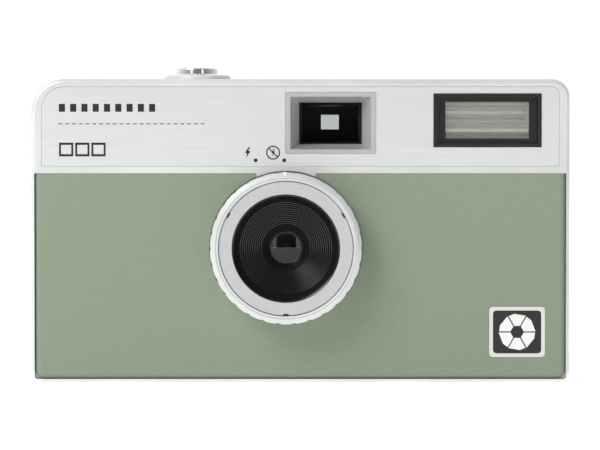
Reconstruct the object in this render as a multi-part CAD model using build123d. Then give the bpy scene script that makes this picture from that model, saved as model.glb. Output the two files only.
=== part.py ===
"""A half frame film camera, in millimetres. X is the viewer's right, the lens faces -Y, Z is up."""
import os
from math import cos, radians, sin

from build123d import *

# overall sizes
body_width = 110.0
body_height = 62.0
body_depth = 31.0
lens_reach = 7.0
wheel_reach = 1.0
corner_top_left = 7.0
corner_top_right = 3.7
corner_low = 2.5
wall = 1.5

# clearances
gap = 0.3
seat = 0.05
running = 0.08

left = -body_width / 2
right = body_width / 2
front = lens_reach - (lens_reach + body_depth + wheel_reach) / 2
back = front + body_depth
top = body_height
front_wall = 2.6
inside_front = front + front_wall
parting_depth = body_depth / 2
parting = front + parting_depth
edge_round = 0.9

# front plate and panel
plate_thickness = 0.8
plate_margin_side = 2.2
plate_margin_top = 1.6
strip_low = 42.9
plate_low = 44.2
panel_thickness = 1.6
panel_margin = 0.7
panel_round = 1.3
panel_top = strip_low - 0.2
badge_inset = 5.0
badge_low = 5.2
badge_width = 11.4
badge_height = 10.3
badge_depth = 0.5
badge_rim = 0.75

# lens and shutter
lens_x = -2.9
lens_z = 27.6
ring_outer = 15.35
trim_outer = 13.5
trim_inner = 10.95
trim_thickness = 1.0
cone_outer = 10.85
cone_inner = 3.2
barrel_outer = 12.5
barrel_foot = 9.0
glass_radius = 4.6
glass_thickness = 1.8
rear_glass_radius = 3.6
rear_glass_thickness = 1.1
aperture_radius = 1.15
aperture_thickness = 0.3
blade_thickness = 0.3
ring_recess = 0.3
ring_groove_inset = 1.25
ring_groove_width = 0.15
flute_radius = 1.1
flute_depth = 0.18
ring_lobes = 30
cone_steps = 10
cone_lip = 9.4
cone_mouth = 4.8
cone_depth = 5.6
lever_x = -12.0
lever_z = 44.0
blade_x = -9.0
blade_z = 33.0
shutter_top = 47.5
mechanism_depth = 3.0
light_hole_radius = 4.0
light_wall = 4.4
finder_seat_depth = 3.5
reflector_depth = 8.0
board_y = 1.0
panel_ring_gap = 0.35
neck_run = 1.8
neck_round = 0.25

# viewfinder and flash
finder_x = 6.2
finder_drop = 9.0
finder_width = 18.4
finder_height = 12.4
finder_opening_width = 12.9
finder_opening_height = 8.5
finder_tube_wall = 0.8
finder_lens_thickness = 1.4
flash_x_inset = 16.8
flash_drop = 8.45
flash_width = 22.0
flash_height = 10.9
flash_rim = 0.75
flash_lens_width = 17.0
flash_lens_height = 7.5
flash_tube_radius = 1.2
flash_ribs = 9

# film path
cassette_radius = 12.8
cassette_inset = 15.4
cassette_to_film = 9.6
cassette_low = 4.0
cassette_high = 50.4
head_room = 10.8
take_up_inset = 23.5
take_up_chamber = 9.6
spool_radius = 7.0
wheel_radius = 13.0
ratchet_height = 1.3
wheel_thickness = 6.0
wheel_slot_half = 9.0
sprocket_x = -16.2
sprocket_radius = 6.05
sprocket_low = 42.0
sprocket_high = 45.6
sprocket_shaft = 2.0
spool_shaft = 2.5
gate_width = 18.0
gate_height = 24.0
film_to_door = 3.5
door_thickness = 1.6
door_top = 42.7
door_low = 0.9
pin_radius = 0.6
knuckle_radius = 1.2

# controls and battery
button_inset = 33.7
button_setback = 5.4
button_radius = 4.3
button_stem = 1.6
button_well = 2.6
collar_radius = 6.85
collar_thickness = 0.9
button_rise = 2.4
button_travel = 1.0
battery_radius = 5.5
battery_inset = 9.1
battery_wall = 2.0
battery_high = 48.0
base_thickness = 1.5
base_inset = 2.5
crank_radius = 7.0
crank_recess = 7.4
fork_radius = 2.6
counter_inset = 14.0
counter_setback = 1.0
dial_radius = 6.0
dial_thickness = 0.6
window_width = 5.0
window_length = 3.2
capacitor_radius = 4.4
capacitor_length = 30.0
strap_drop = 9.6
strap_height = 4.1
strap_bar_radius = 0.7
crank_pin_inset = 1.8
crank_arm_width = 4.0
rewind_radius = 2.2
seal_thickness = 0.5
leather_thickness = 0.6
ratchet_radius = 5.6
ratchet_teeth = 24
sprocket_teeth = 8
latch_low = 18.8
latch_length = 8.5
latch_travel = 2.5
latch_width = 3.5
hatch_pin_radius = 0.3
hatch_pin_z = 0.75
screw_radius = 1.0
screw_head = 1.7

neck_half = max((ring_outer + panel_ring_gap) ** 2 - (panel_top - lens_z) ** 2, 0) ** 0.5 + neck_run
finder_z = top - finder_drop
flash_z = top - flash_drop
strap_low = top - strap_drop
strap_high = strap_low + strap_height
mechanism_back = inside_front + mechanism_depth
light_front = inside_front + light_wall
cassette_x = right - cassette_inset
take_up_x = left + take_up_inset
take_up_y = back + wheel_reach - wheel_radius
button_x = left + button_inset
button_y = inside_front + button_setback
mechanism_left = button_x - button_well
battery_x = left + battery_inset
battery_y = inside_front + battery_wall + battery_radius
flash_x = right - flash_x_inset
counter_x = left + counter_inset
counter_y = parting - counter_setback
window_y = counter_y - dial_radius + window_length / 2 + 0.6
crank_pin_x = cassette_x - crank_radius + crank_pin_inset
battery_pin_x = battery_x + battery_radius - 0.2
pin_x = left + pin_radius + 1.0
pin_y = back - pin_radius - 0.8
film_low = lens_z - gate_height / 2
film_high = lens_z + gate_height / 2
door_inner = back - door_thickness
film_y = door_inner - film_to_door
cassette_y = film_y - cassette_to_film
sprocket_y = film_y - sprocket_radius
latch_back = film_y + 0.1
latch_front = latch_back - latch_width
ring_front = front - lens_reach
trim_front = ring_front + 0.3
trim_back = trim_front + trim_thickness
cone_back = trim_front + cone_depth
glass_back = cone_back + glass_thickness
finder_seat = front + finder_seat_depth
chassis_low = base_thickness
chassis_front = inside_front + seat
chassis_back = film_y - 0.3
chassis_top = top - head_room
wheel_low = chassis_top + ratchet_height
chassis_side = body_width / 2 - wall - gap


def block(x0, x1, y0, y1, z0, z1):
    """A box between two corners."""
    return Pos((x0 + x1) / 2, (y0 + y1) / 2, (z0 + z1) / 2) * Box(x1 - x0, y1 - y0, z1 - z0)


def post(x, y, z0, z1, radius):
    """An upright cylinder."""
    return Pos(x, y, (z0 + z1) / 2) * Cylinder(radius, z1 - z0)


def barrel(x, z, y0, y1, radius):
    """A cylinder that lies along the lens axis."""
    return Pos(x, (y0 + y1) / 2, z) * Rot(90, 0, 0) * Cylinder(radius, y1 - y0)


def slab(x0, x1, y0, y1, z0, z1, top_left=0.0, top_right=0.0, low=0.0):
    """A block whose four upright-face corners are rounded."""
    solid = block(x0, x1, y0, y1, z0, z1)
    for x, z, radius in ((x0, z1, top_left), (x1, z1, top_right), (x0, z0, low), (x1, z0, low)):
        if radius > 0:
            corner = solid.edges().filter_by(Axis.Y).sort_by_distance((x, (y0 + y1) / 2, z))[0]
            solid = fillet(corner, radius)
    return solid


def outline(inset, y0, y1):
    """The body's front outline, moved in by inset, between two depths."""
    return slab(
        left + inset,
        right - inset,
        y0,
        y1,
        inset,
        top - inset,
        corner_top_left - inset,
        corner_top_right - inset,
        corner_low - inset,
    )


def save(name, shape):
    """Write one sub-part."""
    export_step(shape, "parts/" + name + ".step")


def plate_shape(y0, y1, grow):
    """The front plate's outline between two depths, larger by grow."""
    return slab(
        left + plate_margin_side - grow,
        right - plate_margin_side + grow,
        y0,
        y1,
        plate_low - grow,
        top - plate_margin_top + grow,
        corner_top_left - plate_margin_side + grow,
        corner_top_right - plate_margin_side + grow,
        0.2,
    )


def finder_box(width, height, y0, y1):
    """A block centred on the viewfinder's axis."""
    return block(
        finder_x - width / 2,
        finder_x + width / 2,
        y0,
        y1,
        finder_z - height / 2,
        finder_z + height / 2,
    )


def flash_box(width, height, y0, y1):
    """A block centred on the flash."""
    return block(flash_x - width / 2, flash_x + width / 2, y0, y1, flash_z - height / 2, flash_z + height / 2)


def base_shape(grow, z0, z1):
    """The base plate's outline, larger by grow."""
    x1 = body_width / 2 - base_inset + grow
    return block(-x1, x1, inside_front + 1.0 - grow, chassis_back - 1.0 + grow, z0, z1)


def front_cover():
    """Silver front shell: walls, a front wall with recesses, and its holes."""
    shell = outline(0, front, parting)
    shell = fillet(shell.faces().sort_by(Axis.Y)[0].edges(), edge_round)
    shell -= outline(wall, inside_front, parting + 1)
    shell -= plate_shape(front - 1, front + plate_thickness, seat)
    recess = block(left + panel_margin, right - panel_margin, front - 1, front + panel_thickness,
                   panel_margin, panel_top + seat)
    shell -= recess - panel_neck(-seat)
    shell -= barrel(lens_x, lens_z, front - 1, front + panel_thickness, ring_outer + ring_recess)
    shell -= barrel(lens_x, lens_z, front, inside_front + 1, barrel_foot + 1.5)
    shell -= finder_box(finder_width - 2.0, finder_height - 2.0, front, inside_front + 1)
    shell -= flash_box(flash_width - 1.2, flash_height - 1.2, front, inside_front + 1)
    shell -= base_shape(seat, -1, wall + 0.5)
    shell -= post(button_x, button_y, top - wall - 1, top + 1, button_stem + 0.6)
    shell -= counter_window_block(seat)
    shell += post(counter_x, counter_y, wheel_low + wheel_thickness + gap, top - wall, 1.2)
    return shell


def panel_neck(grow):
    """The neck of the cover that comes down between the panel's tips to the ring, larger by grow."""
    return block(lens_x - neck_half - grow, lens_x + neck_half + grow, front - 1, front + panel_thickness + 1,
                 lens_z, panel_top + 1)


def counter_window_block(grow):
    """The clear window over the counter dial, in the top wall."""
    return block(
        counter_x - window_width / 2 - grow,
        counter_x + window_width / 2 + grow,
        window_y - window_length / 2 - grow,
        window_y + window_length / 2 + grow,
        top - wall - grow,
        top + grow,
    )


def hinge_blocks(names):
    """The height ranges of the door's own knuckle or of the cover's two."""
    third = (door_top - door_low) / 3
    if names == "door":
        return [(door_low + third + gap, door_top - third - gap)]
    return [(door_low, door_low + third), (door_top - third, door_top)]


def rear_cover():
    """Silver rear shell: a tube wall with a back band over the door, hinge knuckles and a strap pocket."""
    shell = outline(0, parting, back)
    shell = fillet(shell.faces().sort_by(Axis.Y)[-1].edges(), edge_round)
    shell -= outline(wall, parting - 1, back - wall)
    shell -= block(left - 1, right + 1, door_inner - gap, back + 1, -1, door_top + gap)
    shell -= block(left - 1, pin_x + 3, pin_y - knuckle_radius - 0.6, back + 1, -1, door_top + gap)
    for low, high in hinge_blocks("cover"):
        shell += post(pin_x, pin_y, low, high, knuckle_radius)
        shell += block(left + 0.4, pin_x, pin_y - knuckle_radius - 0.6, pin_y, low, high)
        shell -= post(pin_x, pin_y, low - 1, high + 1, pin_radius + running)
    shell -= base_shape(seat, -1, wall + 0.5)
    shell -= block(take_up_x - wheel_slot_half, take_up_x + wheel_slot_half, back - wall - 1, back + 1,
                   wheel_low - 0.4, wheel_low + wheel_thickness + 0.4)
    shell -= finder_box(finder_opening_width + 2, finder_opening_height + 2, back - wall - 1, back + 1)
    shell += block(left + wall, left + 4.6, parting + 1, parting + 9, strap_low - 1, strap_high + 1)
    shell -= block(left - 1, left + 3.6, parting + 2, parting + 8, strap_low, strap_high)
    shell -= post(left + 1.3, parting + 5, strap_low - 0.8, strap_high + 0.8, strap_bar_radius)
    shell -= latch_slot(gap)
    return shell


def strap_bar():
    """The upright bar in the side pocket that a wrist strap loops round."""
    return post(left + 1.3, parting + 5, strap_low - 0.8, strap_high + 0.8, strap_bar_radius)


def latch_slot(grow):
    """The space of the latch slider in the side wall, larger by grow."""
    return block(right - wall - 1, right + 1, latch_front - grow, latch_back + grow, latch_low - 0.8 - grow,
                 latch_low + latch_length + latch_travel + 0.2 + grow)


def base_plate():
    """Silver base plate with holes for the crank, the rewind button, the battery and its screws."""
    plate = base_shape(0, 0, base_thickness)
    plate -= post(cassette_x, cassette_y, -1, base_thickness + 1, crank_recess)
    plate -= post(sprocket_x, sprocket_y, -1, base_thickness + 1, rewind_radius + gap)
    plate -= battery_hatch(gap)
    plate -= hatch_pin(hatch_pin_radius + running, 1.5)
    for x, y in screw_places():
        plate -= post(x, y, -1, base_thickness + 1, screw_radius + 0.1)
        plate -= post(x, y, -1, 0.9, screw_head + 0.1)
    return plate


def battery_hatch(grow):
    """The battery door's outline, larger by grow."""
    reach = battery_radius + 0.3 + grow
    return block(battery_x - reach, battery_x + reach, battery_y - reach, battery_y + reach, 0.1 - grow * 4,
                 base_thickness - 0.1 + grow * 4)


def screw_places():
    """Plan positions of the base plate's screws."""
    return [(lens_x, -6.0), (lens_x + 20, 9.0), (take_up_x, -6.0), (cassette_x - 16, -6.0)]


def base_screws():
    """Four cross-head screws that hold the base plate to the chassis."""
    screws = []
    for x, y in screw_places():
        screw = post(x, y, 0.1, 0.8, screw_head) + post(x, y, 0.8, 6.0, screw_radius)
        screw -= block(x - 1.1, x + 1.1, y - 0.2, y + 0.2, 0, 0.5)
        screw -= block(x - 0.2, x + 0.2, y - 1.1, y + 1.1, 0, 0.5)
        screws.append(screw)
    return Compound(children=screws)


def chassis():
    """Black moulding that carries the film chambers, the light chamber and the mechanism."""
    solid = slab(-chassis_side, chassis_side, chassis_front, chassis_back, chassis_low, chassis_top, 0, 0, 1.2)
    chamber = post(cassette_x, cassette_y, cassette_low, cassette_high, cassette_radius)
    chamber += block(cassette_x - cassette_radius, cassette_x + cassette_radius, cassette_y, chassis_back + 1,
                     cassette_low, cassette_high)
    solid -= chamber
    spool_room = post(take_up_x, take_up_y, cassette_low, cassette_high, take_up_chamber)
    spool_room += block(take_up_x - take_up_chamber, take_up_x + take_up_chamber, take_up_y, chassis_back + 1,
                        cassette_low, cassette_high)
    solid -= spool_room
    solid -= block(lens_x - gate_width / 2, lens_x + gate_width / 2, light_front, chassis_back + 1, film_low,
                   film_high)
    solid -= barrel(lens_x, lens_z, mechanism_back - 1, light_front + 1, light_hole_radius)
    solid -= block(mechanism_left, lens_x + 10.5, chassis_front - 1, mechanism_back, lens_z - 11,
                   chassis_top + 1)
    solid -= post(button_x, button_y, lever_z - 2.0, chassis_top + 1, button_well)
    solid -= block(button_x - button_well, button_x + button_well, mechanism_back - 1, button_y,
                   lever_z - 2.0, chassis_top + 1)
    solid -= post(sprocket_x, sprocket_y, sprocket_low - 1.4, sprocket_high + 1.4, sprocket_radius + 1.7)
    solid -= block(sprocket_x - sprocket_radius - 1.7, sprocket_x + sprocket_radius + 1.7, sprocket_y,
                   chassis_back + 1, sprocket_low - 1.4, sprocket_high + 1.4)
    solid -= post(sprocket_x, sprocket_y, 6.0, chassis_top + 1, sprocket_shaft + running)
    solid -= post(sprocket_x, sprocket_y, chassis_low - 1, 4.6, rewind_radius + gap)
    solid -= post(take_up_x, take_up_y, 2.8, chassis_top + 1, spool_shaft + running)
    solid -= post(cassette_x, cassette_y, chassis_low - 1, 3.2, crank_recess)
    solid -= post(cassette_x, cassette_y, chassis_low - 1, cassette_low + 1, fork_radius + running)
    solid -= post(battery_x, battery_y, chassis_low - 1, battery_high, battery_radius)
    solid -= finder_box(finder_opening_width + 2, finder_opening_height + 2, chassis_front - 1, chassis_back + 1)
    solid -= finder_box(finder_width - 1.6, finder_height - 1.6, chassis_front - 1, finder_seat + gap)
    for x, y in screw_places():
        solid -= post(x, y, chassis_low - 1, 6.2, screw_radius)
    return solid


def front_plate():
    """Brushed metal plate across the top of the front."""
    plate = plate_shape(front, front + plate_thickness, 0)
    plate -= finder_box(finder_width + 2 * seat, finder_height + 2 * seat, front - 1, front + 2)
    plate -= barrel(lens_x, lens_z, front - 1, front + 2, ring_outer + ring_recess)
    plate -= flash_box(flash_width + 2 * seat, flash_height + 2 * seat, front - 1, front + 2)
    return plate


def front_panel():
    """Grained panel round the lens, with edges that curve back."""
    panel = slab(left + panel_margin + seat, right - panel_margin - seat, front, front + panel_thickness - seat,
                 panel_margin + seat, panel_top, 0, 0, corner_low - panel_margin)
    sides = [e for e in panel.faces().sort_by(Axis.Y)[0].edges() if e.center().Z < panel_top - 0.01]
    panel = fillet(sides, panel_round)
    panel -= barrel(lens_x, lens_z, front - 1, front + panel_thickness + 1, ring_outer + panel_ring_gap)
    panel -= panel_neck(0)
    tips = [e for e in panel.edges().filter_by(Axis.Y) if abs(abs(e.center().X - lens_x) - neck_half) < 0.01]
    panel = fillet(tips, neck_round)
    return panel - badge_shape(front - 1, front + badge_depth, seat)


def badge_shape(y0, y1, grow):
    """The badge's outline between two depths, larger by grow."""
    x1 = right - badge_inset + grow
    return slab(x1 - badge_width - 2 * grow, x1, y0, y1, badge_low - grow, badge_low + badge_height + grow,
                0.7, 0.7, 0.7)


def badge_frame():
    """Light metal frame of the corner badge."""
    frame = badge_shape(front - 0.1, front + badge_depth, 0)
    return frame - badge_shape(front - 0.2, front + 0.1, -badge_rim)


def badge_field():
    """Dark field of the badge, set into its frame."""
    return badge_shape(front - 0.05, front + 0.1, -badge_rim - seat)


def turned(profile):
    """A solid of revolution round the lens axis from (radius, depth) points."""
    face = make_face(Polyline(*profile, close=True).edges())
    return Pos(lens_x, 0, lens_z) * revolve(face, Axis.Y, 360)


def flash_ring():
    """Turning ring round the lens, lobed for grip."""
    bore = barrel_outer + running
    lip = trim_outer + 0.2
    groove = ring_outer - ring_groove_inset
    base = front + panel_thickness - 0.2
    ring = turned([
        (bore, base), (ring_outer, base), (ring_outer, ring_front + 0.9), (ring_outer - 0.9, ring_front),
        (groove + ring_groove_width, ring_front), (groove + ring_groove_width, ring_front + 0.2),
        (groove, ring_front + 0.2), (groove, ring_front),
        (lip, ring_front), (lip, trim_back + 0.2), (bore, trim_back + 0.2),
    ])
    for step in range(ring_lobes):
        angle = radians(360 * (step + 0.5) / ring_lobes)
        reach = ring_outer + flute_radius - flute_depth
        x = lens_x + reach * sin(angle)
        z = lens_z + reach * cos(angle)
        ring -= barrel(x, z, ring_front - 1, base - 1.2, flute_radius)
    return ring


def lens_trim_ring():
    """Satin ring that keeps the turning ring on the barrel."""
    return turned([
        (trim_inner, trim_front), (trim_outer, trim_front), (trim_outer, trim_back), (trim_inner, trim_back),
    ])


def lens_cone():
    """Black cone in front of the lens, stepped against stray light."""
    start = trim_front + 0.1
    points = [(cone_outer, start), (cone_outer, cone_back), (cone_inner, cone_back), (cone_mouth, cone_back - 0.8)]
    rise = (cone_back - 0.8 - start - 0.4) / cone_steps
    run = (cone_lip - cone_mouth) / cone_steps
    for step in range(cone_steps):
        points.append((cone_mouth + run * (step + 1), cone_back - 0.8 - rise * step))
        points.append((cone_mouth + run * (step + 1), cone_back - 0.8 - rise * (step + 1)))
    points.append((cone_lip + 0.3, start))
    return turned(points)


def lens_barrel():
    """Tube that carries the ring outside and the optics inside."""
    floor = front + panel_thickness
    rear_glass_back = glass_back + aperture_thickness + rear_glass_thickness
    return turned([
        (barrel_outer, trim_back), (barrel_outer, floor),
        (barrel_foot + 1.4, floor), (barrel_foot + 1.4, inside_front), (3.0, inside_front),
        (3.0, rear_glass_back), (rear_glass_radius + seat, rear_glass_back),
        (rear_glass_radius + seat, glass_back), (glass_radius + seat, glass_back),
        (glass_radius + seat, cone_back), (cone_outer + seat, cone_back), (cone_outer + seat, trim_back),
    ])


def front_lens():
    """Front glass, domed forwards."""
    glass = barrel(lens_x, lens_z, cone_back, glass_back, glass_radius)
    sphere_radius = 9.0
    dome = Pos(lens_x, cone_back + sphere_radius - 0.5, lens_z) * Sphere(sphere_radius)
    dome &= barrel(lens_x, lens_z, cone_back - 1, cone_back + 0.2, cone_inner - 0.1)
    return glass + dome


def aperture_plate():
    """Thin plate whose small round hole is the fixed aperture."""
    plate = barrel(lens_x, lens_z, glass_back, glass_back + aperture_thickness, rear_glass_radius)
    return plate - barrel(lens_x, lens_z, glass_back - 1, glass_back + 1, aperture_radius)


def rear_lens():
    """Rear glass behind the aperture."""
    start = glass_back + aperture_thickness
    return barrel(lens_x, lens_z, start, start + rear_glass_thickness, rear_glass_radius)


def shutter_plate():
    """Metal plate behind the lens that carries the blade's pivot."""
    plate = block(mechanism_left + 0.5, lens_x + 10.0, chassis_front, chassis_front + 0.8, lens_z - 10.5, shutter_top)
    plate -= barrel(lens_x, lens_z, chassis_front - 1, chassis_front + 1, 2.2)
    for x, z in ((blade_x, blade_z), (lever_x, lever_z)):
        plate += barrel(x, z, chassis_front + 0.8, mechanism_back, 0.7)
    return plate


def shutter_blade():
    """Thin blade that covers the hole and swings aside."""
    y0 = chassis_front + 0.8 + gap
    blade = barrel(blade_x, blade_z, y0, y0 + blade_thickness, 1.8)
    blade += barrel(lens_x, lens_z, y0, y0 + blade_thickness, 3.2)
    blade += block(blade_x - 1.2, lens_x + 1.2, y0, y0 + blade_thickness, lens_z - 1.0, blade_z + 0.5)
    return blade - barrel(blade_x, blade_z, y0 - 1, y0 + 1, 0.7 + running)


def release_lever():
    """Lever that takes the button's stroke to the shutter."""
    y0 = chassis_front + 0.8 + gap
    arm = block(button_x - 1.5, lever_x, y0, y0 + 0.8, lever_z - 1.0, lever_z + 1.0)
    arm += block(lever_x - 1.0, lever_x + 1.0, y0, y0 + 0.8, lever_z - 7.0, lever_z)
    arm += barrel(lever_x, lever_z, y0, y0 + 0.8, 1.8)
    arm += block(button_x - 1.5, button_x + 1.5, y0, button_y + 1.0, lever_z + 0.2, lever_z + 1.0)
    return arm - barrel(lever_x, lever_z, y0 - 1, y0 + 2, 0.7 + running)


def shutter_spring():
    """Hair spring wound round the blade's pivot, drawn as its coil's outer shape."""
    y0 = chassis_front + 0.8 + gap + blade_thickness + 0.2
    coil = barrel(blade_x, blade_z, y0, y0 + 0.6, 1.3)
    return coil - barrel(blade_x, blade_z, y0 - 1, y0 + 1, 0.7 + running)


def button_collar():
    """Disc round the shutter button, set on the top."""
    collar = post(button_x, button_y, top, top + collar_thickness, collar_radius)
    collar = chamfer(collar.faces().sort_by(Axis.Z)[-1].edges(), 0.3)
    collar -= post(button_x, button_y, top + 0.1, top + 2, button_radius + gap)
    collar += post(button_x, button_y, top - wall, top, button_stem + 0.5)
    return collar - post(button_x, button_y, top - 2, top + 2, button_stem + running)


def shutter_button():
    """Domed chrome button with its stem."""
    low = top + button_travel + 0.2
    cap = post(button_x, button_y, low, top + button_rise, button_radius)
    cap = fillet(cap.faces().sort_by(Axis.Z)[-1].edges(), 0.5)
    return cap + post(button_x, button_y, lever_z + 1.0 + gap, low, button_stem)


def button_spring():
    """Return spring round the button's stem, as a sleeve of its outer shape."""
    sleeve = post(button_x, button_y, lever_z + 1.8, chassis_top - 0.2, 2.3)
    return sleeve - post(button_x, button_y, lever_z, chassis_top + 5, button_stem + 0.15)


def viewfinder_bezel():
    """Funnel-shaped frame of the viewfinder in the front plate."""
    bezel = finder_box(finder_width, finder_height, front - 0.1, front + plate_thickness)
    bezel += finder_box(finder_width - 2.2, finder_height - 2.2, front, finder_seat)
    mouth = Plane.XZ * Pos(finder_x, finder_z) * Rectangle(finder_width - 1.9, finder_height - 1.6)
    throat = Plane.XZ * Pos(finder_x, finder_z) * Rectangle(finder_opening_width, finder_opening_height)
    funnel = loft([Pos(0, front - 0.1, 0) * mouth, Pos(0, finder_seat, 0) * throat])
    return bezel - funnel


def viewfinder_front_lens():
    """Front window lens of the viewfinder."""
    return finder_box(finder_opening_width, finder_opening_height, finder_seat, finder_seat + finder_lens_thickness)


def viewfinder_tube():
    """Black tube from the front lens to the eyepiece."""
    start = finder_seat + finder_lens_thickness
    end = back - wall - 1.6
    tube = finder_box(finder_opening_width + 2 * finder_tube_wall, finder_opening_height + 2 * finder_tube_wall,
                      start, end)
    return tube - finder_box(finder_opening_width - 1.0, finder_opening_height - 1.0, start - 1, end + 1)


def viewfinder_eyepiece_lens():
    """Eyepiece lens at the tube's rear end."""
    end = back - wall - 1.6
    return finder_box(finder_opening_width - 3.0, finder_opening_height - 2.0, end, end + finder_lens_thickness)


def eyepiece_frame():
    """Black frame that stands a little out of the back round the eyepiece."""
    end = back - wall - 1.6
    frame = finder_box(finder_opening_width + 1.9, finder_opening_height + 1.9, end, back + 0.5)
    frame -= finder_box(finder_opening_width - 3.0 + 2 * seat, finder_opening_height - 2.0 + 2 * seat, end - 1,
                        back + 1)
    return frame


def flash_bezel():
    """Dark frame of the flash window."""
    bezel = flash_box(flash_width, flash_height, front - 0.1, front + plate_thickness)
    bezel += flash_box(flash_width - 1.3, flash_height - 1.3, front, inside_front)
    bezel -= flash_box(flash_width - 2 * flash_rim, flash_height - 2 * flash_rim, front - 1, front + 1.2)
    return bezel - flash_box(flash_lens_width + 2 * seat, flash_lens_height + 2 * seat, front, inside_front + 1)


def flash_window():
    """Clear flash lens with level ribs on its front."""
    window = flash_box(flash_lens_width, flash_lens_height, front + 0.9, inside_front)
    for step in range(flash_ribs):
        z = flash_z - flash_lens_height / 2 + (step + 0.5) * flash_lens_height / flash_ribs
        rib = Pos(flash_x, front + 0.95, z) * Rot(0, 90, 0) * Cylinder(0.32, flash_lens_width)
        window += rib
    return window


def flash_reflector():
    """Bright trough behind the flash window."""
    high = flash_z + flash_lens_height / 2 + 1.0
    middle = (chassis_top + high) / 2
    half = flash_lens_width / 2 + 1.0
    trough = block(flash_x - half, flash_x + half, inside_front, inside_front + reflector_depth, chassis_top, high)
    mouth = Plane.XZ * Pos(flash_x, middle) * Rectangle(flash_lens_width, high - chassis_top - 1.2)
    root = Plane.XZ * Pos(flash_x, middle) * Rectangle(flash_lens_width - 1.0, 3.2)
    hollow = loft([Pos(0, inside_front, 0) * mouth, Pos(0, inside_front + reflector_depth - 1, 0) * root])
    trough -= hollow
    hole = Pos(flash_x, inside_front + reflector_depth - 2.4, middle) * Rot(0, 90, 0)
    return trough - hole * Cylinder(flash_tube_radius + 0.05, flash_lens_width + 4)


def flash_tube():
    """Glass discharge tube that lies across the reflector."""
    middle = (chassis_top + flash_z + flash_lens_height / 2 + 1.0) / 2
    place = Pos(flash_x, inside_front + reflector_depth - 2.4, middle) * Rot(0, 90, 0)
    return place * Cylinder(flash_tube_radius, flash_lens_width + 2.6)


def flash_board():
    """Circuit board behind the reflector."""
    return block(flash_x - 12.0, flash_x + 11.5, board_y, board_y + 1.0, chassis_top, top - wall - 2.5)


def flash_capacitor():
    """Main flash capacitor, lying behind the board."""
    centre = flash_x - 6.0
    place = Pos(centre, board_y + 1.0 + capacitor_radius, chassis_top + capacitor_radius) * Rot(0, 90, 0)
    return place * Cylinder(capacitor_radius, capacitor_length)


def flash_transformer():
    """Small step-up transformer of the flash."""
    solid = block(flash_x - 22.0, flash_x - 14.0, -6.0, 0.5, chassis_top, chassis_top + 6.0)
    return fillet(solid.edges().filter_by(Axis.Z), 0.6)


def flash_switch():
    """Spring contact that the turning ring's cam closes."""
    return block(lens_x - 10.0, lens_x - 5.6, chassis_front, chassis_front + 0.4, lens_z + 20.4, lens_z + 22.6)


def advance_wheel():
    """Milled thumbwheel with its ratchet and its shaft to the spool."""
    wheel = post(take_up_x, take_up_y, wheel_low, wheel_low + wheel_thickness, wheel_radius)
    wheel = chamfer(wheel.edges().filter_by(GeomType.CIRCLE), 0.5)
    for step in range(60):
        angle = radians(6 * (step + 0.5))
        x = take_up_x + (wheel_radius + 0.1) * cos(angle)
        y = take_up_y + (wheel_radius + 0.1) * sin(angle)
        wheel -= post(x, y, wheel_low - 1, wheel_low + wheel_thickness + 1, 0.4)
    ratchet = post(take_up_x, take_up_y, chassis_top + gap, wheel_low, ratchet_radius)
    for step in range(ratchet_teeth):
        angle = radians(360 * step / ratchet_teeth)
        x = take_up_x + ratchet_radius * cos(angle)
        y = take_up_y + ratchet_radius * sin(angle)
        ratchet -= post(x, y, chassis_top, wheel_low, 0.4)
    return wheel + ratchet + post(take_up_x, take_up_y, cassette_high - 1.0, chassis_top + gap, spool_shaft)


def ratchet_pawl():
    """Small pawl that stops the wheel from turning back."""
    x0 = take_up_x + ratchet_radius + gap
    pawl = post(x0 + 1.2, take_up_y - 9.0, chassis_top + 0.2, wheel_low - gap, 1.6)
    pawl += block(x0, x0 + 1.4, take_up_y - 9.0, take_up_y + 0.4, chassis_top + 0.2, wheel_low - gap)
    return pawl - post(x0 + 1.2, take_up_y - 9.0, chassis_top - 1, chassis_top + 3, 0.6 + running)


def pawl_pin():
    """Pin that the pawl turns on."""
    x0 = take_up_x + ratchet_radius + gap
    return post(x0 + 1.2, take_up_y - 9.0, chassis_top, wheel_low - gap, 0.6)


def take_up_spool():
    """Spool that winds the film, with a slot for its leader."""
    spool = post(take_up_x, take_up_y, cassette_low + gap, cassette_high - 1.0, spool_radius)
    spool += post(take_up_x, take_up_y, 3.0, cassette_low + gap, spool_shaft)
    slot_z = (cassette_low + cassette_high) / 2
    spool -= block(take_up_x - 0.6, take_up_x + 0.6, take_up_y, take_up_y + spool_radius + 1, slot_z - 14, slot_z + 14)
    return spool


def sprocket():
    """Toothed wheel that the film turns, on its upright shaft."""
    wheel = post(sprocket_x, sprocket_y, sprocket_low, sprocket_high, sprocket_radius)
    middle = (sprocket_low + sprocket_high) / 2
    for step in range(sprocket_teeth):
        tooth = Pos(sprocket_radius + 0.5, 0, middle) * Box(1.4, 1.6, 1.8)
        wheel += Pos(sprocket_x, sprocket_y, 0) * Rot(0, 0, 360 * step / sprocket_teeth) * tooth
    wheel += post(sprocket_x, sprocket_y, 6.2, chassis_top + gap, sprocket_shaft)
    return wheel


def metering_cam():
    """Notched cam on the sprocket's shaft that meters one frame."""
    cam = post(sprocket_x, sprocket_y, chassis_top + gap, wheel_low - gap, 3.6)
    return cam - block(sprocket_x + 2.6, sprocket_x + 4.0, sprocket_y - 0.8, sprocket_y + 0.8, chassis_top, top)


def counter_dial():
    """Frame counter dial."""
    low = wheel_low + wheel_thickness + 2 * gap
    dial = post(counter_x, counter_y, low, low + dial_thickness, dial_radius)
    return dial - post(counter_x, counter_y, low - 1, low + 2, 1.2 + running)


def counter_window():
    """Clear window over the dial."""
    return counter_window_block(0)


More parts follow.
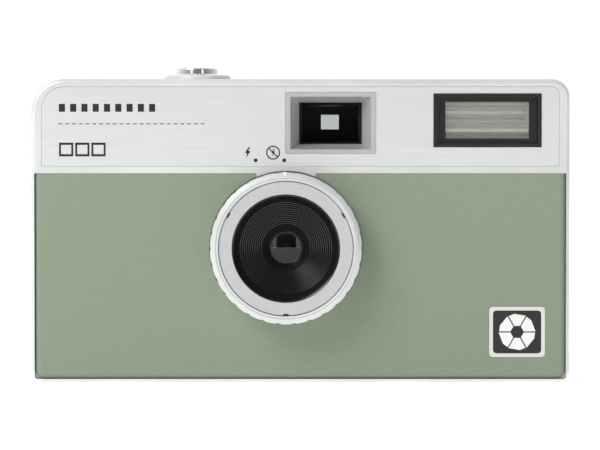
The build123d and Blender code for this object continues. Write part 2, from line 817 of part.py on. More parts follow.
def crank_knob():
    """Rewind disc in the base with its shaft and the fork that turns the cassette's spool."""
    knob = post(cassette_x, cassette_y, 1.8, 2.9, crank_radius)
    knob += post(cassette_x, cassette_y, 2.9, cassette_low + 1.2, fork_radius)
    knob += block(cassette_x - 2.2, cassette_x + 2.2, cassette_y - 0.6, cassette_y + 0.6, cassette_low, 9.0)
    knob += post(cassette_x, cassette_y, cassette_low, cassette_low + 3.0, fork_radius - 0.8)
    for side in (-1, 1):
        y = cassette_y + side * (crank_arm_width / 2 + gap + 0.5)
        knob += block(crank_pin_x - 0.9, crank_pin_x + 0.9, y - 0.5, y + 0.5, 0.4, 1.9)
    return knob - crank_pin_rod(0.4 + running)


def crank_pin_rod(radius):
    """The cross pin's cylinder through the arm's root."""
    place = Pos(crank_pin_x, cassette_y, 1.0) * Rot(90, 0, 0)
    return place * Cylinder(radius, crank_arm_width + 2 * gap + 2.0)


def crank_pin():
    """Cross pin that the crank's arm folds on."""
    return crank_pin_rod(0.4)


def crank_arm():
    """Fold-out arm of the rewind crank."""
    y0 = cassette_y - crank_arm_width / 2
    y1 = cassette_y + crank_arm_width / 2
    arm = block(crank_pin_x, cassette_x + crank_radius - 1.6, y0, y1, 0.5, 1.4)
    place = Pos(crank_pin_x, cassette_y, 1.0) * Rot(90, 0, 0)
    arm += place * Cylinder(0.6, crank_arm_width)
    return arm - place * Cylinder(0.4 + running, crank_arm_width + 2)


def crank_grip():
    """Small round grip at the arm's end."""
    return post(cassette_x + crank_radius - 3.8, cassette_y, 0.1, 0.5, 1.8)


def rewind_button():
    """Button in the base that frees the sprocket for rewinding."""
    return post(sprocket_x, sprocket_y, 0.1, 2.4, rewind_radius)


def rewind_spring():
    """Return spring over the rewind button, as a sleeve of its outer shape."""
    sleeve = post(sprocket_x, sprocket_y, 2.4, 4.6, 1.8)
    return sleeve - post(sprocket_x, sprocket_y, 1, 6, 1.2)


def back_door():
    """Hinged back with its knuckle on the left edge and a catch on the right."""
    door = block(pin_x, right, door_inner, back, door_low, door_top)
    outer = door.faces().sort_by(Axis.Y)[-1].edges()
    door = fillet([e for e in outer if e.center().X > pin_x + 1], edge_round)
    door -= block(pin_x - 1, pin_x + 2.2, door_inner - 1, back + 1, door_low - 1, door_top + 1)
    low, high = hinge_blocks("door")[0]
    knuckle = post(pin_x, pin_y, low, high, knuckle_radius)
    knuckle += block(pin_x, pin_x + 3, door_inner, pin_y + knuckle_radius, low, high)
    door += knuckle
    door -= post(pin_x, pin_y, low - 1, high + 1, pin_radius + running)
    catch_x = right - wall - 1.4
    door += block(catch_x - 1.2, catch_x, film_y + 1.2, door_inner, latch_low + 1.2, latch_low + 8.0)
    door -= leather_block(seat, 0.01)
    return door


def leather_block(grow, proud):
    """The covering's outline on the door."""
    return block(pin_x + 5 - grow, right - 3 + grow, back - leather_thickness, back + proud, door_low + 2.5 - grow,
                 door_top - 2 + grow)


def door_leather():
    """Grained covering of the door."""
    return leather_block(0, 0)


def door_hinge_pin():
    """Long pin of the door's hinge."""
    return post(pin_x, pin_y, door_low, door_top, pin_radius)


def pressure_plate():
    """Plate that keeps the film flat in the gate."""
    width = gate_width / 2 + 11
    plate = block(lens_x - width, lens_x + width, film_y + 0.3, film_y + 1.1, film_low - 4, film_high + 1.5)
    return fillet(plate.edges().filter_by(Axis.Y), 1.5)


def pressure_spring():
    """Leaf spring between the door and the pressure plate."""
    leaf = block(lens_x - 12, lens_x + 12, film_y + 2.2, film_y + 2.6, lens_z - 4, lens_z + 4)
    for side in (-1, 1):
        x = lens_x + side * 11
        leaf += block(x - 1, x + 1, film_y + 1.1, film_y + 2.6, lens_z - 4, lens_z + 4)
    return leaf + block(lens_x - 2, lens_x + 2, film_y + 2.6, door_inner, lens_z - 4, lens_z + 4)


def light_seals():
    """Foam strips along the door's inner edges."""
    strips = []
    for x in (pin_x + 4.5, right - wall - 8.0):
        strips.append(block(x, x + 2.0, door_inner - seal_thickness, door_inner, door_low + 2, door_top - 2))
    return Compound(children=strips)


def door_latch():
    """Slider in the side wall that is lifted to free the door's catch."""
    slider = block(right - wall + 0.2, right - 0.1, latch_front, latch_back, latch_low, latch_low + latch_length)
    for step in range(4):
        slider -= block(right - 0.4, right + 1, latch_front - 1, latch_back + 1, latch_low + 1.4 + step * 1.6, latch_low + 2.0 + step * 1.6)
    hook_x = right - wall - 1.4
    slider += block(hook_x - 1.2 + gap, right - wall + 0.3, film_y - 0.1, film_y + 0.1, latch_low + 0.4, latch_low + 1.0)
    return slider


def battery_door():
    """Hatch over the battery with its hinge barrel."""
    door = battery_hatch(0)
    door -= block(battery_x + battery_radius - 0.9, battery_x + battery_radius + 1, battery_y - 10,
                  battery_y + 10, -1, 3)
    place = Pos(battery_pin_x, battery_y, hatch_pin_z) * Rot(90, 0, 0)
    door += place * Cylinder(0.6, 9.0)
    door += block(battery_x, battery_pin_x, battery_y - 4.5, battery_y + 4.5, 0.2, 1.2)
    return door + hatch_pin(hatch_pin_radius, 1.0)


def hatch_pin(radius, past):
    """The hatch's stub pins as one cylinder that ends a little past the hatch."""
    place = Pos(battery_pin_x, battery_y, hatch_pin_z) * Rot(90, 0, 0)
    return place * Cylinder(radius, 2 * (battery_radius + past))


def battery_contact():
    """Upper contact of the battery bay."""
    return post(battery_x, battery_y, battery_high - 0.4, battery_high, battery_radius - 0.5)


os.makedirs("parts", exist_ok=True)
pieces = (
    front_cover, rear_cover, strap_bar, base_plate, base_screws, chassis, front_plate, front_panel, badge_frame,
    badge_field, flash_ring, lens_trim_ring, lens_cone, lens_barrel, front_lens, aperture_plate, rear_lens,
    shutter_plate, shutter_blade, release_lever, shutter_spring, button_collar, shutter_button, button_spring,
    viewfinder_bezel, viewfinder_front_lens, viewfinder_tube, viewfinder_eyepiece_lens, eyepiece_frame,
    flash_bezel, flash_window, flash_reflector, flash_tube, flash_board, flash_capacitor, flash_transformer,
    flash_switch, advance_wheel, ratchet_pawl, pawl_pin, take_up_spool, sprocket, metering_cam, counter_dial,
    counter_window, crank_knob, crank_pin, crank_arm, crank_grip, rewind_button, rewind_spring, back_door,
    door_leather, door_hinge_pin, pressure_plate, pressure_spring, light_seals, door_latch, battery_door,
    battery_contact,
)
for piece in pieces:
    save(piece.__name__, piece())
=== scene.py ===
"""Looks of the half frame camera: finishes for its parts, printed marks, emblem, light and camera."""
from math import cos, pi, radians, sin

import bpy
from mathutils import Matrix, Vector


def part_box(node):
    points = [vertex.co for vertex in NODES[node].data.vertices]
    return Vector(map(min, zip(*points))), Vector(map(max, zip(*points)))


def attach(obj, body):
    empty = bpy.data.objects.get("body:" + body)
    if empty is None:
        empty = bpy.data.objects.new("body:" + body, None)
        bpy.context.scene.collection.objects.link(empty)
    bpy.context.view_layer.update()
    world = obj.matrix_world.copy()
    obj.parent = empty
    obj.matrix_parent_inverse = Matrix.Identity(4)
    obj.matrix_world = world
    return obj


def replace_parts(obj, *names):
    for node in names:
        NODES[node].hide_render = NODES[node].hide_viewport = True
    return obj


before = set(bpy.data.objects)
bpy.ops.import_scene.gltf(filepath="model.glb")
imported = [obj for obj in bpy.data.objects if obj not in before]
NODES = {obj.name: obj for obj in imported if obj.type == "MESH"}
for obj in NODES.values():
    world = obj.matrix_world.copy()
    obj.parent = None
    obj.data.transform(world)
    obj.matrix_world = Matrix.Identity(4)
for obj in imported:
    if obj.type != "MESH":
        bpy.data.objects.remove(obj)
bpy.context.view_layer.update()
MM = 0.001

bpy.ops.object.select_all(action="DESELECT")


# places read from the frame

def middle(node):
    """Centre of a part's box."""
    low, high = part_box(node)
    return [(a + b) / 2 for a, b in zip(low, high)]


LENS = middle("lens_trim_ring")
BADGE = middle("badge_frame")
PLATE_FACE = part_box("front_plate")[0][1]
PANEL_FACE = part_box("front_panel")[0][1]
TRIM_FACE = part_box("lens_trim_ring")[0][1]
RING_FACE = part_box("flash_ring")[0][1]
BADGE_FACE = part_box("badge_field")[0][1]

# sizes of marks and pieces in millimetres

PRINT_RISE = 0.04 * MM
DISC_SIDES = 40
FLASH_ON_PLACE = (-10.75, 47.0)
FLASH_OFF_PLACE = (-5.54, 46.97)
DOT_PLACES = ((-9.1, 45.4), (-3.26, 45.4))
DOT_RADIUS = 0.39
OFF_RING = (1.43, 1.18)
HOLE_ROW = {"start": -48.6, "pitch": 2.3, "count": 9, "z": 56.1, "half": (0.62, 0.8)}
DASH_ROW = {"start": -48.9, "pitch": 1.38, "count": 22, "z": 52.85, "half": (0.38, 0.09)}
PICTURE_ROW = {"start": -47.75, "pitch": 3.3, "count": 3, "z": 47.6, "half": (1.45, 1.4)}
PICTURE_EDGE = (0.4, 0.45)
# dark marks on the trim ring, painted shade of its notches
TAB_ANGLES = (270, 150, 30)
TAB_RADIUS = 13.35
TAB_HALF = (0.55, 0.16)
POINTER_SHIFT = -0.2
POINTER_RADIUS = 15.05
CONE_THROAT = 3.2
CONE_MOUTH = 4.8
CONE_LIP = 9.5
CONE_STEPS = 11
CONE_BEAD = 0.17
CONE_MOUTH_DEPTH = 1.5
CONE_LIP_DEPTH = 1.7
VIEW_SIZE = (3.8, 3.1)
VIEW_PLACE = (6.33, 53.5)
# black sheet in the finder tube, put there as painted shade of the tube's inside
SHADE_SHEET_MARGIN = 1.27
SHADE_SHEET_DEPTH = 2.0
SHADE_SHEET_THICKNESS = 0.4

# light and camera

FLOOR_GLOW = 0.42
WORLD_LEVEL = 0.56
WORLD_SLOPE = (-0.12, 0.47, 0.12)
KEY_POWER = 4.3
KEY_PLACE = (-0.5, -0.5, 0.6)
KEY_SIZE = (0.45, 0.45)
STRIP_POWER = 0.28
STRIP_PLACE = (0.36, -0.62, 0.16)
STRIP_SIZE = (0.10, 0.5)
LIGHT_AIM = (0, 0, 0.03)
CAMERA_DISTANCE = 0.55
CAMERA_TILT = radians(1.5)
CAMERA_X = -0.05 * MM
AIM_Z = 32.2 * MM
VIEW_WIDTH = 122.47 * MM
SENSOR = 36.0


# finishes

def new_finish(name):
    """An empty node material with its shader and Object coordinates."""
    finish = bpy.data.materials.new(name)
    finish.use_nodes = True
    tree = finish.node_tree
    shader = tree.nodes["Principled BSDF"]
    coords = tree.nodes.new("ShaderNodeTexCoord")
    return finish, tree, shader, coords


def stretched(tree, coords, scale):
    """Object coordinates scaled by three numbers."""
    mapping = tree.nodes.new("ShaderNodeMapping")
    mapping.inputs["Scale"].default_value = scale
    tree.links.new(coords.outputs["Object"], mapping.inputs["Vector"])
    return mapping.outputs["Vector"]


def noise(tree, vector, scale, detail=3.0, rough=0.5):
    """A noise texture's value."""
    node = tree.nodes.new("ShaderNodeTexNoise")
    node.inputs["Scale"].default_value = scale
    node.inputs["Detail"].default_value = detail
    node.inputs["Roughness"].default_value = rough
    tree.links.new(vector, node.inputs["Vector"])
    return node.outputs["Fac"]


def ramp(tree, value, low, high, start=0.3, end=0.7):
    """Two colours blended by a value."""
    node = tree.nodes.new("ShaderNodeValToRGB")
    node.color_ramp.elements[0].position = start
    node.color_ramp.elements[1].position = end
    node.color_ramp.elements[0].color = (*low, 1)
    node.color_ramp.elements[1].color = (*high, 1)
    tree.links.new(value, node.inputs["Fac"])
    return node.outputs["Color"]


def spread(tree, value, low, high):
    """A value mapped to a range."""
    node = tree.nodes.new("ShaderNodeMapRange")
    node.inputs["To Min"].default_value = low
    node.inputs["To Max"].default_value = high
    tree.links.new(value, node.inputs["Value"])
    return node.outputs["Result"]


def bump(tree, shader, value, strength, depth, after=None):
    """A height added to the shader's normal."""
    node = tree.nodes.new("ShaderNodeBump")
    node.inputs["Strength"].default_value = strength
    node.inputs["Distance"].default_value = depth
    tree.links.new(value, node.inputs["Height"])
    if after is not None:
        tree.links.new(after, node.inputs["Normal"])
    tree.links.new(node.outputs["Normal"], shader.inputs["Normal"])
    return node.outputs["Normal"]


def shade(colour, factor):
    """A colour made darker or lighter."""
    return tuple(min(1.0, c * factor) for c in colour)


def painted(name, colour, rough=0.35, metallic=0.0, grain=900.0, height=0.02 * MM, vary=0.06):
    """Moulded or painted surface with a fine texture and a little unevenness."""
    finish, tree, shader, coords = new_finish(name)
    broad = noise(tree, coords.outputs["Object"], 60.0)
    fine = noise(tree, coords.outputs["Object"], grain, 4.0)
    tree.links.new(ramp(tree, broad, shade(colour, 1 - vary), shade(colour, 1 + vary)), shader.inputs["Base Color"])
    tree.links.new(spread(tree, fine, rough - 0.06, rough + 0.06), shader.inputs["Roughness"])
    shader.inputs["Metallic"].default_value = metallic
    bump(tree, shader, fine, 0.35, height)
    return finish


def brushed(name, colour, rough=0.3, metallic=0.8, along=(12.0, 900.0, 900.0)):
    """Brushed metal with long fine scratches."""
    finish, tree, shader, coords = new_finish(name)
    lines = noise(tree, stretched(tree, coords, along), 6.0, 6.0, 0.7)
    tree.links.new(ramp(tree, lines, shade(colour, 0.94), shade(colour, 1.04)), shader.inputs["Base Color"])
    tree.links.new(spread(tree, lines, rough - 0.08, rough + 0.1), shader.inputs["Roughness"])
    shader.inputs["Metallic"].default_value = metallic
    bump(tree, shader, lines, 0.12, 0.02 * MM)
    return finish


def leather_grain(name, colour):
    """Moulded leather grain: creased cells with fine pores, and a little random variation in tone."""
    finish, tree, shader, coords = new_finish(name)
    warp = tree.nodes.new("ShaderNodeTexNoise")
    warp.inputs["Scale"].default_value = 600.0
    warp.inputs["Detail"].default_value = 4.0
    tree.links.new(coords.outputs["Object"], warp.inputs["Vector"])
    mix = tree.nodes.new("ShaderNodeVectorMath")
    mix.operation = "MULTIPLY_ADD"
    mix.inputs[1].default_value = (0.0009, 0.0009, 0.0009)
    tree.links.new(warp.outputs["Color"], mix.inputs[0])
    tree.links.new(coords.outputs["Object"], mix.inputs[2])
    cells = tree.nodes.new("ShaderNodeTexVoronoi")
    cells.feature = "SMOOTH_F1"
    cells.inputs["Scale"].default_value = 1100.0
    cells.inputs["Smoothness"].default_value = 0.6
    tree.links.new(mix.outputs["Vector"], cells.inputs["Vector"])
    folds = noise(tree, coords.outputs["Object"], 850.0, 6.0, 0.62)
    pores = noise(tree, coords.outputs["Object"], 2400.0, 2.0)
    tone = noise(tree, coords.outputs["Object"], 1500.0, 4.0, 0.6)
    tree.links.new(ramp(tree, tone, shade(colour, 0.97), shade(colour, 1.03)), shader.inputs["Base Color"])
    tree.links.new(spread(tree, folds, 0.42, 0.62), shader.inputs["Roughness"])
    first = bump(tree, shader, cells.outputs["Distance"], 0.35, 0.07 * MM)
    second = bump(tree, shader, folds, 0.6, 0.10 * MM, first)
    bump(tree, shader, pores, 0.2, 0.02 * MM, second)
    shader.inputs["Specular IOR Level"].default_value = 0.35
    return finish


def clear(name, tint, rough=0.02, ior=1.49):
    """Clear plastic or glass with a trace of haze."""
    finish, tree, shader, coords = new_finish(name)
    haze = noise(tree, coords.outputs["Object"], 140.0)
    tree.links.new(spread(tree, haze, rough, rough + 0.03), shader.inputs["Roughness"])
    tree.links.new(ramp(tree, haze, shade(tint, 0.98), tint), shader.inputs["Base Color"])
    shader.inputs["Transmission Weight"].default_value = 1.0
    shader.inputs["IOR"].default_value = ior
    return finish


def thin_clear(name, tint, shine, milk, rough=0.03):
    """Thin clear plastic or glass that lets most light straight through and shines a little."""
    finish, tree, shader, coords = new_finish(name)
    shader.inputs["Base Color"].default_value = (*milk, 1)
    haze = noise(tree, coords.outputs["Object"], 140.0)
    tree.links.new(spread(tree, haze, rough, rough + 0.03), shader.inputs["Roughness"])
    through = tree.nodes.new("ShaderNodeBsdfTransparent")
    through.inputs["Color"].default_value = (*tint, 1)
    blend = tree.nodes.new("ShaderNodeMixShader")
    blend.inputs["Fac"].default_value = shine
    tree.links.new(through.outputs["BSDF"], blend.inputs[1])
    tree.links.new(shader.outputs["BSDF"], blend.inputs[2])
    tree.links.new(blend.outputs["Shader"], tree.nodes["Material Output"].inputs["Surface"])
    return finish


def foam(name):
    """Open black foam."""
    finish, tree, shader, coords = new_finish(name)
    cells = noise(tree, coords.outputs["Object"], 2600.0, 2.0)
    tree.links.new(ramp(tree, cells, (0.008, 0.008, 0.008), (0.03, 0.03, 0.03)), shader.inputs["Base Color"])
    shader.inputs["Roughness"].default_value = 0.95
    bump(tree, shader, cells, 0.8, 0.15 * MM)
    return finish


SILVER = painted("satin_silver", (0.74, 0.755, 0.745), 0.36, 0.35, 1500.0)
PLATE = brushed("brushed_front_plate", (0.80, 0.81, 0.80), 0.34, 0.55)
GREEN = leather_grain("green_grain", (0.250, 0.305, 0.221))
BLACK = painted("matt_black_plastic", (0.018, 0.018, 0.019), 0.5)
GLOSS_BLACK = painted("gloss_black_cone", (0.008, 0.008, 0.009), 0.2, 0.0, 2500.0, 0.0005 * MM)
CHROME = painted("chrome", (0.82, 0.82, 0.83), 0.14, 1.0, 700.0, 0.004 * MM)
STEEL = brushed("stamped_steel", (0.5, 0.5, 0.5), 0.35, 1.0)
SATIN = brushed("satin_trim", (0.62, 0.625, 0.64), 0.38, 0.6, (300.0, 300.0, 300.0))
GREY = painted("grey_bezel", (0.5, 0.505, 0.505), 0.38, 0.3)
DARK = painted("dark_bezel", (0.012, 0.012, 0.013), 0.3)
GLASS = clear("lens_glass", (0.93, 0.96, 0.98))
# Front lens glass tinted near black as painted shade: the tint stands in for the dark inside of the lens seen through
# clear glass.
SHADE_DARK_GLASS = clear("shade_tinted_lens_glass", (0.05, 0.05, 0.055), 0.004)
FINDER_GLASS = thin_clear("finder_glass", (0.97, 0.98, 0.98), 0.15, (0.0, 0.0, 0.0))
FLASH_CLEAR = thin_clear("flash_clear_plastic", (0.97, 0.965, 0.94), 0.25, (0.55, 0.55, 0.53), 0.12)
FOIL = brushed("reflector_foil", (0.92, 0.91, 0.88), 0.3, 0.5, (20.0, 400.0, 400.0))
BOARD = painted("coated_board", (0.03, 0.16, 0.07), 0.3)
COPPER = brushed("copper_winding", (0.65, 0.3, 0.14), 0.35, 0.9, (900.0, 900.0, 30.0))
BRASS = brushed("plated_contact", (0.72, 0.57, 0.28), 0.3, 1.0)
DIAL = painted("white_dial", (0.82, 0.82, 0.78), 0.5)
FOAM = foam("light_seal_foam")
INK = painted("black_print", (0.01, 0.01, 0.01), 0.45, 0.0, 3000.0, 0.004 * MM)
WHITE = painted("white_paint", (0.85, 0.85, 0.84), 0.4)

FINISHES = {
    "front_cover": SILVER, "rear_cover": SILVER, "base_plate": SILVER, "strap_bar": CHROME,
    "base_screws": STEEL, "chassis": BLACK, "front_plate": PLATE, "front_panel": GREEN,
    "badge_frame": PLATE, "badge_field": DARK, "flash_ring": SILVER, "lens_trim_ring": SATIN,
    "lens_cone": GLOSS_BLACK, "lens_barrel": BLACK, "front_lens": SHADE_DARK_GLASS, "aperture_plate": BLACK,
    "rear_lens": GLASS, "shutter_plate": STEEL, "shutter_blade": BLACK, "release_lever": STEEL,
    "shutter_spring": STEEL, "button_collar": SILVER, "shutter_button": CHROME, "button_spring": STEEL,
    "viewfinder_bezel": GREY, "viewfinder_front_lens": FINDER_GLASS, "viewfinder_tube": BLACK,
    "viewfinder_eyepiece_lens": FINDER_GLASS, "eyepiece_frame": BLACK, "flash_bezel": DARK,
    "flash_window": FLASH_CLEAR, "flash_reflector": FOIL, "flash_tube": GLASS, "flash_board": BOARD,
    "flash_capacitor": DARK, "flash_transformer": COPPER, "flash_switch": BRASS, "advance_wheel": BLACK,
    "ratchet_pawl": STEEL, "pawl_pin": STEEL, "take_up_spool": BLACK, "sprocket": BLACK,
    "metering_cam": STEEL, "counter_dial": DIAL, "counter_window": FINDER_GLASS, "crank_knob": BLACK,
    "crank_pin": STEEL, "crank_arm": SILVER, "crank_grip": BLACK, "rewind_button": BLACK,
    "rewind_spring": STEEL, "back_door": SILVER, "door_leather": GREEN, "door_hinge_pin": STEEL,
    "pressure_plate": DARK, "pressure_spring": STEEL, "light_seals": FOAM, "door_latch": BLACK,
    "battery_door": SILVER, "battery_contact": BRASS,
}


def dress_parts():
    """Give every CAD part its finish."""
    for name, finish in FINISHES.items():
        part = NODES[name]
        part.data.materials.clear()
        part.data.materials.append(finish)


# making pieces

def settle(piece, name, finish, body="body"):
    """Name a finished piece, put its place in its mesh, dress it and let it ride on a body."""
    bpy.ops.object.select_all(action="DESELECT")
    piece.select_set(True)
    bpy.context.view_layer.objects.active = piece
    bpy.ops.object.transform_apply(location=True, rotation=True, scale=True)
    piece.name = name
    piece.data.name = name
    piece.data.materials.clear()
    piece.data.materials.append(finish)
    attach(piece, body)
    return piece


def join(pieces):
    """Join several objects into the first."""
    bpy.ops.object.select_all(action="DESELECT")
    for piece in pieces:
        piece.select_set(True)
    bpy.context.view_layer.objects.active = pieces[0]
    bpy.ops.object.join()
    return pieces[0]


def printed(outline, x, z, thickness=PRINT_RISE, y=None):
    """A flat mark from an outline in millimetres, raised by an ink's thickness from the plate."""
    face_y = (PLATE_FACE if y is None else y) - thickness
    mesh = bpy.data.meshes.new("mark")
    count = len(outline)
    near = [(x + px * MM, face_y, z + pz * MM) for px, pz in outline]
    far = [(px, face_y + 1.5 * thickness, pz) for px, _, pz in near]
    sides = [(i, (i + 1) % count, (i + 1) % count + count, i + count) for i in range(count)]
    mesh.from_pydata(near + far, [], [tuple(range(count)), tuple(reversed(range(count, 2 * count)))] + sides)
    mark = bpy.data.objects.new("mark", mesh)
    bpy.context.scene.collection.objects.link(mark)
    bpy.ops.object.select_all(action="DESELECT")
    mark.select_set(True)
    bpy.context.view_layer.objects.active = mark
    bpy.ops.object.mode_set(mode="EDIT")
    bpy.ops.mesh.select_all(action="SELECT")
    bpy.ops.mesh.normals_make_consistent(inside=False)
    bpy.ops.object.mode_set(mode="OBJECT")
    return mark


def circle(radius, turns):
    """Points round a circle, one for each of the given turns."""
    return [(radius * cos(2 * pi * i / DISC_SIDES), radius * sin(2 * pi * i / DISC_SIDES)) for i in turns]


def disc(x, z, radius, inner=0.0):
    """A printed dot, or a printed ring if inner is given."""
    if inner:
        outline = circle(radius, range(DISC_SIDES + 1)) + circle(inner, range(DISC_SIDES, -1, -1))
    else:
        outline = circle(radius, range(DISC_SIDES))
    return printed(outline, x, z)


def rectangle(half_width, half_height, x=0.0, z=0.0):
    """The outline of a rectangle about a centre."""
    return [(x - half_width, z - half_height), (x + half_width, z - half_height),
            (x + half_width, z + half_height), (x - half_width, z + half_height)]


def turned_outline(outline, angle):
    """An outline turned about its own origin."""
    return [(px * cos(angle) - pz * sin(angle), px * sin(angle) + pz * cos(angle)) for px, pz in outline]


BOLT = [(0.22, 1.1), (-0.55, -0.12), (-0.08, -0.12), (-0.3, -1.1), (0.6, 0.3), (0.1, 0.3), (0.55, 1.1)]


def flash_marks():
    """Lightning bolt, crossed bolt in a ring, and a dot beside each."""
    on_x, on_z = FLASH_ON_PLACE
    off_x, off_z = FLASH_OFF_PLACE
    marks = [printed(BOLT, on_x * MM, on_z * MM)]
    for x, z in DOT_PLACES:
        marks.append(disc(x * MM, z * MM, DOT_RADIUS))
    small = [(px * 0.62, pz * 0.72) for px, pz in BOLT]
    marks.append(printed(small, off_x * MM, off_z * MM))
    marks.append(disc(off_x * MM, off_z * MM, *OFF_RING))
    slash = [(-1.0, 0.82), (-0.84, 1.0), (1.0, -0.82), (0.84, -1.0)]
    marks.append(printed(slash, off_x * MM, off_z * MM))
    settle(join(marks), "flash_marks", INK)


def row_places(row):
    """The place of each mark in a row."""
    return [((row["start"] + row["pitch"] * step) * MM, row["z"] * MM) for step in range(row["count"])]


def front_ornament():
    """Rows of film perforations, dashes and small picture frames, in place of lettering."""
    marks = []
    for row in (HOLE_ROW, DASH_ROW):
        for x, z in row_places(row):
            marks.append(printed(rectangle(*row["half"]), x, z))
    half_width, half_height = PICTURE_ROW["half"]
    side, rail = PICTURE_EDGE
    for x, z in row_places(PICTURE_ROW):
        for way in (-1, 1):
            marks.append(printed(rectangle(half_width, rail / 2, 0, way * (half_height - rail / 2)), x, z))
        for way in (-1, 1):
            upright = rectangle(side / 2, half_height - rail, way * (half_width - side / 2), 0)
            marks.append(printed(upright, x, z))
    settle(join(marks), "front_ornament", INK)


def badge_emblem():
    """Six-bladed iris on the badge."""
    blade = [(1.35, 0.12), (3.75, 0.12), (2.9, 2.38), (1.95, 3.1), (0.78, 1.12)]
    blades = []
    for step in range(6):
        outline = turned_outline(blade, radians(60 * step))
        blades.append(printed(outline, BADGE[0], BADGE[2], PRINT_RISE, BADGE_FACE))
    settle(join(blades), "badge_emblem", WHITE)


def finder_shade_sheet():
    """Black sheet near the eyepiece that stands in for the shade inside the finder tube and frames the bright view."""
    low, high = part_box("viewfinder_tube")
    left, right = low[0] / MM + SHADE_SHEET_MARGIN, high[0] / MM - SHADE_SHEET_MARGIN
    bottom, top = low[2] / MM + SHADE_SHEET_MARGIN, high[2] / MM - SHADE_SHEET_MARGIN
    x0, x1 = VIEW_PLACE[0] - VIEW_SIZE[0] / 2, VIEW_PLACE[0] + VIEW_SIZE[0] / 2
    z0, z1 = VIEW_PLACE[1] - VIEW_SIZE[1] / 2, VIEW_PLACE[1] + VIEW_SIZE[1] / 2
    sides = []
    for ax, bx, az, bz in ((left, x0, bottom, top), (x1, right, bottom, top), (x0, x1, bottom, z0), (x0, x1, z1, top)):
        outline = [(ax, az), (bx, az), (bx, bz), (ax, bz)]
        sides.append(printed(outline, 0, 0, SHADE_SHEET_THICKNESS * MM, high[1] - SHADE_SHEET_DEPTH * MM))
    settle(join(sides), "finder_shade_sheet", BLACK)


def lathe(profile, name, finish, steps=144):
    """A solid spun round the lens axis from a closed profile of radius and depth in millimetres."""
    mesh = bpy.data.meshes.new(name)
    places = [(LENS[0] + r * MM, y * MM, LENS[2]) for r, y in profile]
    count = len(places)
    mesh.from_pydata(places, [(i, (i + 1) % count) for i in range(count)], [])
    piece = bpy.data.objects.new(name, mesh)
    bpy.context.scene.collection.objects.link(piece)
    bpy.ops.object.select_all(action="DESELECT")
    piece.select_set(True)
    bpy.context.view_layer.objects.active = piece
    bpy.ops.object.mode_set(mode="EDIT")
    bpy.ops.mesh.select_all(action="SELECT")
    bpy.ops.mesh.spin(steps=steps, angle=2 * pi, center=LENS, axis=(0, 1, 0))
    bpy.ops.mesh.select_all(action="SELECT")
    bpy.ops.mesh.remove_doubles(threshold=0.001 * MM)
    bpy.ops.mesh.normals_make_consistent(inside=False)
    bpy.ops.object.mode_set(mode="OBJECT")
    bpy.ops.object.shade_smooth_by_angle(angle=radians(32))
    return settle(piece, name, finish)


def stepped_cone():
    """Black cone whose round-edged steps each catch a thin line of light."""
    low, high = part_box("lens_cone")
    front = low[1] / MM
    back = high[1] / MM
    outer = (high[0] - low[0]) / 2 / MM
    profile = [(outer, front), (outer, back), (CONE_THROAT, back), (CONE_MOUTH, back - CONE_MOUTH_DEPTH)]
    run = (CONE_LIP - CONE_MOUTH) / CONE_STEPS
    rise = (back - CONE_MOUTH_DEPTH - front - CONE_LIP_DEPTH) / CONE_STEPS
    for step in range(CONE_STEPS):
        radius = CONE_MOUTH + run * (step + 0.5)
        depth = back - CONE_MOUTH_DEPTH - rise * (step + 0.5)
        for turn in range(0, 181, 30):
            side = cos(radians(180 - turn))
            profile.append((radius + CONE_BEAD * side, depth - CONE_BEAD * sin(radians(turn)) - rise * side * 0.3))
    profile += [(CONE_LIP, front + CONE_LIP_DEPTH), (CONE_LIP + 0.5, front + 1.1), (outer - 0.25, front + 0.12)]
    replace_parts(lathe(profile, "stepped_cone", GLOSS_BLACK), "lens_cone")


def trim_notch_shades():
    """Three small dark marks, painted shade standing in for the notches where the trim ring's tabs lock."""
    tabs = []
    for angle in TAB_ANGLES:
        turn = radians(angle)
        x = LENS[0] + TAB_RADIUS * MM * cos(turn)
        z = LENS[2] + TAB_RADIUS * MM * sin(turn)
        outline = turned_outline(rectangle(*TAB_HALF), turn + pi / 2)
        tabs.append(printed(outline, x, z, PRINT_RISE, TRIM_FACE))
    settle(join(tabs), "trim_notch_shades", DARK)


def ring_pointer():
    """White pointer at the top of the turning ring."""
    outline = [(-0.35, -0.5), (0.35, -0.5), (0.35, 0.4), (-0.35, 0.4)]
    x = LENS[0] + POINTER_SHIFT * MM
    z = LENS[2] + POINTER_RADIUS * MM
    pip = printed(outline, x, z, 0.05 * MM, RING_FACE + 0.35 * MM)
    settle(pip, "ring_pointer", WHITE, "ring")


# the studio

def floor():
    """White floor with a faint glow of its own."""
    bpy.ops.mesh.primitive_plane_add(size=6.0, location=(0, 0, 0))
    plane = bpy.context.object
    plane.name = "floor"
    finish = painted("pale_floor", (0.96, 0.96, 0.96), 0.9, 0.0, 50.0, 0.001 * MM, 0.0)
    glow = finish.node_tree.nodes["Principled BSDF"]
    glow.inputs["Emission Color"].default_value = (1, 1, 1, 1)
    glow.inputs["Emission Strength"].default_value = FLOOR_GLOW
    plane.data.materials.append(finish)


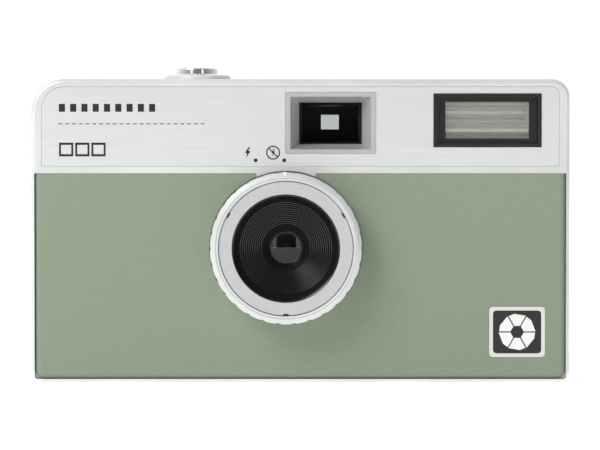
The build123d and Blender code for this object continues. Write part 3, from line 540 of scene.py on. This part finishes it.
def area_light(name, place, aim, size, power):
    """A square softbox."""
    lamp = bpy.data.lights.new(name, "AREA")
    lamp.shape = "RECTANGLE"
    lamp.size, lamp.size_y = size
    lamp.energy = power
    holder = bpy.data.objects.new(name, lamp)
    bpy.context.scene.collection.objects.link(holder)
    holder.location = place
    direction = Vector(aim) - Vector(place)
    holder.rotation_euler = direction.to_track_quat("-Z", "Y").to_euler()


def studio():
    """Soft light from above left and a bright surround."""
    world = bpy.data.worlds.new("studio")
    bpy.context.scene.world = world
    world.use_nodes = True
    tree = world.node_tree
    surround = tree.nodes["Background"]
    direction = tree.nodes.new("ShaderNodeTexCoord")
    slope = tree.nodes.new("ShaderNodeVectorMath")
    slope.operation = "DOT_PRODUCT"
    slope.inputs[1].default_value = WORLD_SLOPE
    level = tree.nodes.new("ShaderNodeMath")
    level.operation = "ADD"
    level.inputs[1].default_value = WORLD_LEVEL
    tree.links.new(direction.outputs["Generated"], slope.inputs[0])
    tree.links.new(slope.outputs["Value"], level.inputs[0])
    tree.links.new(level.outputs["Value"], surround.inputs["Strength"])
    surround.inputs["Color"].default_value = (1, 1, 1, 1)
    area_light("key", KEY_PLACE, LIGHT_AIM, KEY_SIZE, KEY_POWER)
    for side in (-1, 1):
        place = (STRIP_PLACE[0] * side, STRIP_PLACE[1], STRIP_PLACE[2])
        area_light("strip", place, LIGHT_AIM, STRIP_SIZE, STRIP_POWER)
    bpy.context.scene.view_settings.view_transform = "Standard"


def set_camera():
    """Camera level with the middle of the front, a little above it."""
    data = bpy.data.cameras.new("camera")
    data.sensor_width = SENSOR
    data.lens = SENSOR * CAMERA_DISTANCE / VIEW_WIDTH
    data.clip_start = 0.01
    holder = bpy.data.objects.new("camera", data)
    bpy.context.scene.collection.objects.link(holder)
    back_off = CAMERA_DISTANCE * cos(CAMERA_TILT)
    rise = CAMERA_DISTANCE * sin(CAMERA_TILT)
    holder.location = (CAMERA_X, PANEL_FACE - back_off, AIM_Z + rise)
    holder.rotation_euler = (pi / 2 - CAMERA_TILT, 0, 0)
    bpy.context.scene.camera = holder


set_camera()
studio()
floor()
dress_parts()
flash_marks()
front_ornament()
badge_emblem()
finder_shade_sheet()
stepped_cone()
trim_notch_shades()
ring_pointer()
